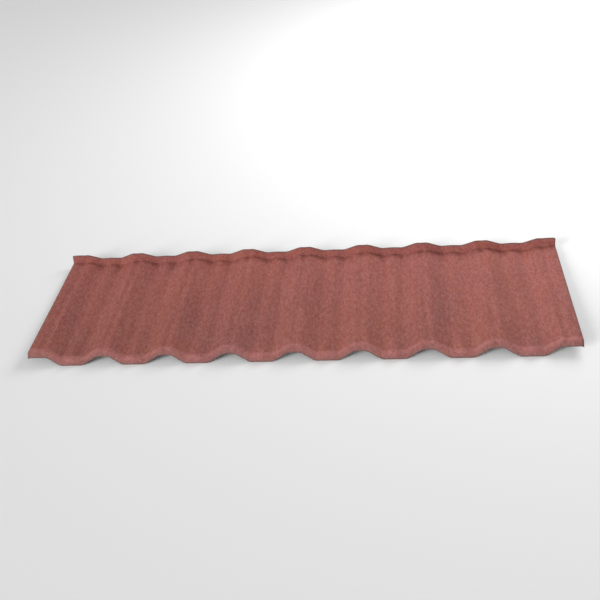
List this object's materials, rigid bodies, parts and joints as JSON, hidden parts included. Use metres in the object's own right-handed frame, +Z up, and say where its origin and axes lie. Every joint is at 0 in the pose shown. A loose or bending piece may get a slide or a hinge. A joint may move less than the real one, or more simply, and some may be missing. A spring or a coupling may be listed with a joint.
{
  "type": "tile effect metal roofing sheet",
  "caption": "Pressed metal roofing sheet shaped like a row of tiles: waves run front to back, a low rib fills each pan, the nose has a slanted lip and the back an upstand.",
  "frame": {"origin": "centre of the sheet's bounding box, on the floor that it lies on", "axes": "+X across the waves, nose lip towards -Y, back upstand towards +Y, +Z up"},
  "size_m": [1.36, 0.4212, 0.034],
  "materials": {
    "stone_coated_steel": "matt terracotta stone granules on steel"
  },
  "bodies": {
    "root": {"roofing_sheet": "stone_coated_steel"}
  },
  "joints": []
}
